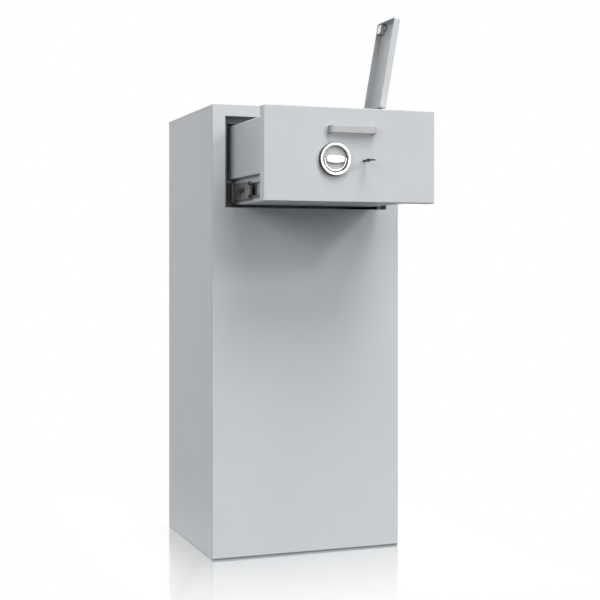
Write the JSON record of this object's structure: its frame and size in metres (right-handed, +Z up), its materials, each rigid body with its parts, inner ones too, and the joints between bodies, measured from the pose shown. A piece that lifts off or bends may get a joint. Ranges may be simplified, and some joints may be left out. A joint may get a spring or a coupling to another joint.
{
  "type": "deposit safe",
  "caption": "Counter-height deposit safe: a steel cabinet with a lockable telescopic drawer at the top and a hinged deposit lid over a throat in the top plate.",
  "frame": {"origin": "middle of the cabinet's underside, on the floor", "axes": "+Z up, +Y from the front to the back, +X to the right as seen from the front"},
  "size_m": [0.4753, 0.686, 1.2302],
  "materials": {
    "cabinet_paint": "light grey powder coat, fine orange peel",
    "inner_paint": "light grey powder coat, thin inside coat",
    "zinc": "bright zinc plate on rolled steel",
    "steel": "machined steel",
    "dark_steel": "dark oxidised steel",
    "satin_chrome": "satin chrome",
    "grip_metal": "satin nickel",
    "dish_metal": "fine-grained matt silver",
    "brass": "machined brass",
    "black_plastic": "moulded black plastic"
  },
  "bodies": {
    "cabinet": {"cabinet_shell": "cabinet_paint", "front_plate": "cabinet_paint", "rebate_frame": "cabinet_paint", "top_plate": "cabinet_paint", "deposit_collar": "cabinet_paint", "base_plate": "inner_paint", "drawer_deck": "inner_paint", "slide_bracket_left": "inner_paint", "slide_bracket_right": "inner_paint", "slide_outer_left": "zinc", "slide_outer_right": "zinc", "base_hinge_leaf": "zinc", "lid_hinge_pin": "steel"},
    "drawer": {"drawer_front_pan": "cabinet_paint", "drawer_tub": "cabinet_paint", "drawer_back": "cabinet_paint", "boltwork_cover": "inner_paint", "slide_inner_left": "zinc", "slide_inner_right": "zinc", "pull_handle": "grip_metal", "pull_screw_left": "steel", "pull_screw_right": "steel", "handle_rose": "satin_chrome", "spindle_bush": "brass", "guide_stud_left": "steel", "guide_stud_right": "steel", "lock_case": "zinc", "lock_cover": "zinc"},
    "middle_member_left": {"slide_middle_left": "zinc", "slide_buffer_left": "black_plastic"},
    "middle_member_right": {"slide_middle_right": "zinc", "slide_buffer_right": "black_plastic"},
    "outer_balls_left": {"outer_cage_left": "steel"},
    "outer_balls_right": {"outer_cage_right": "steel"},
    "inner_balls_left": {"inner_cage_left": "steel"},
    "inner_balls_right": {"inner_cage_right": "steel"},
    "turn_handle": {"turn_dish": "dish_metal", "grip_bar": "satin_chrome", "bail_pin": "steel", "handle_spindle": "steel", "rack_pinion": "steel"},
    "bail": {"fold_bail": "satin_chrome"},
    "boltwork": {"bolt_bar": "steel", "bolt_left": "satin_chrome", "bolt_right": "satin_chrome"},
    "key": {"safe_key": "dark_steel", "lock_hub": "cabinet_paint"},
    "locking_bolt": {"lock_bolt": "brass"},
    "lid": {"lid_pan": "cabinet_paint", "lid_hinge_leaf": "zinc", "lid_lock_case": "dish_metal"},
    "lid_cylinder": {"lid_lock_cylinder": "steel"},
    "lid_bolt": {"lid_lock_bolt": "brass"}
  },
  "joints": [
    {"name": "drawer_slide", "type": "slide", "parent": "cabinet", "child": "drawer", "axis": [0, 1, 0], "range_m": [0, 0.256]},
    {"name": "middle_left_slide", "type": "slide", "parent": "cabinet", "child": "middle_member_left", "axis": [0, 1, 0], "range_m": [0, 0.128]},
    {"name": "middle_right_slide", "type": "slide", "parent": "cabinet", "child": "middle_member_right", "axis": [0, 1, 0], "range_m": [0, 0.128]},
    {"name": "outer_left_roll", "type": "slide", "parent": "cabinet", "child": "outer_balls_left", "axis": [0, 1, 0], "range_m": [0, 0.064]},
    {"name": "outer_right_roll", "type": "slide", "parent": "cabinet", "child": "outer_balls_right", "axis": [0, 1, 0], "range_m": [0, 0.064]},
    {"name": "inner_left_roll", "type": "slide", "parent": "cabinet", "child": "inner_balls_left", "axis": [0, 1, 0], "range_m": [0, 0.192]},
    {"name": "inner_right_roll", "type": "slide", "parent": "cabinet", "child": "inner_balls_right", "axis": [0, 1, 0], "range_m": [0, 0.192]},
    {"name": "handle_turn", "type": "hinge", "parent": "drawer", "child": "turn_handle", "pos_m": [-0.038, -0.451, 0.8645], "axis": [0, -1, 0], "range_deg": [0, 90]},
    {"name": "bolt_lift", "type": "slide", "parent": "drawer", "child": "boltwork", "axis": [0, 0, 1], "range_m": [0, 0.014]},
    {"name": "bail_fold", "type": "hinge", "parent": "turn_handle", "child": "bail", "pos_m": [-0.038, -0.4569, 0.8645], "axis": [-1, 0, 0], "range_deg": [0, 90]},
    {"name": "key_turn", "type": "hinge", "parent": "drawer", "child": "key", "pos_m": [0.0302, -0.451, 0.863], "axis": [0, -1, 0], "range_deg": [0, 90]},
    {"name": "lock_bolt_slide", "type": "slide", "parent": "drawer", "child": "locking_bolt", "axis": [-1, 0, 0], "range_m": [0, 0.008]},
    {"name": "lid_hinge", "type": "hinge", "parent": "cabinet", "child": "lid", "pos_m": [0.2101, 0, 1.012], "axis": [0, 1, 0], "range_deg": [-100.1, 0]},
    {"name": "lid_lock_turn", "type": "hinge", "parent": "lid", "child": "lid_cylinder", "pos_m": [0.2464, -0.074, 1.21579], "axis": [0.9845, 0, -0.1754], "range_deg": [0, 90]},
    {"name": "lid_bolt_slide", "type": "slide", "parent": "lid", "child": "lid_bolt", "axis": [-0.1754, 0, -0.9845], "range_m": [0, 0.006]}
  ],
  "couplings": [
    {"joint": "middle_left_slide", "follows": "drawer_slide", "ratio": 0.5},
    {"joint": "middle_right_slide", "follows": "drawer_slide", "ratio": 0.5},
    {"joint": "outer_left_roll", "follows": "drawer_slide", "ratio": 0.25},
    {"joint": "outer_right_roll", "follows": "drawer_slide", "ratio": 0.25},
    {"joint": "inner_left_roll", "follows": "drawer_slide", "ratio": 0.75},
    {"joint": "inner_right_roll", "follows": "drawer_slide", "ratio": 0.75},
    {"joint": "handle_turn", "follows": "bolt_lift", "rad_per_m": 112.2},
    {"joint": "lock_bolt_slide", "follows": "key_turn", "m_per_rad": 0.0050929},
    {"joint": "lid_bolt_slide", "follows": "lid_lock_turn", "m_per_rad": 0.0038197}
  ]
}
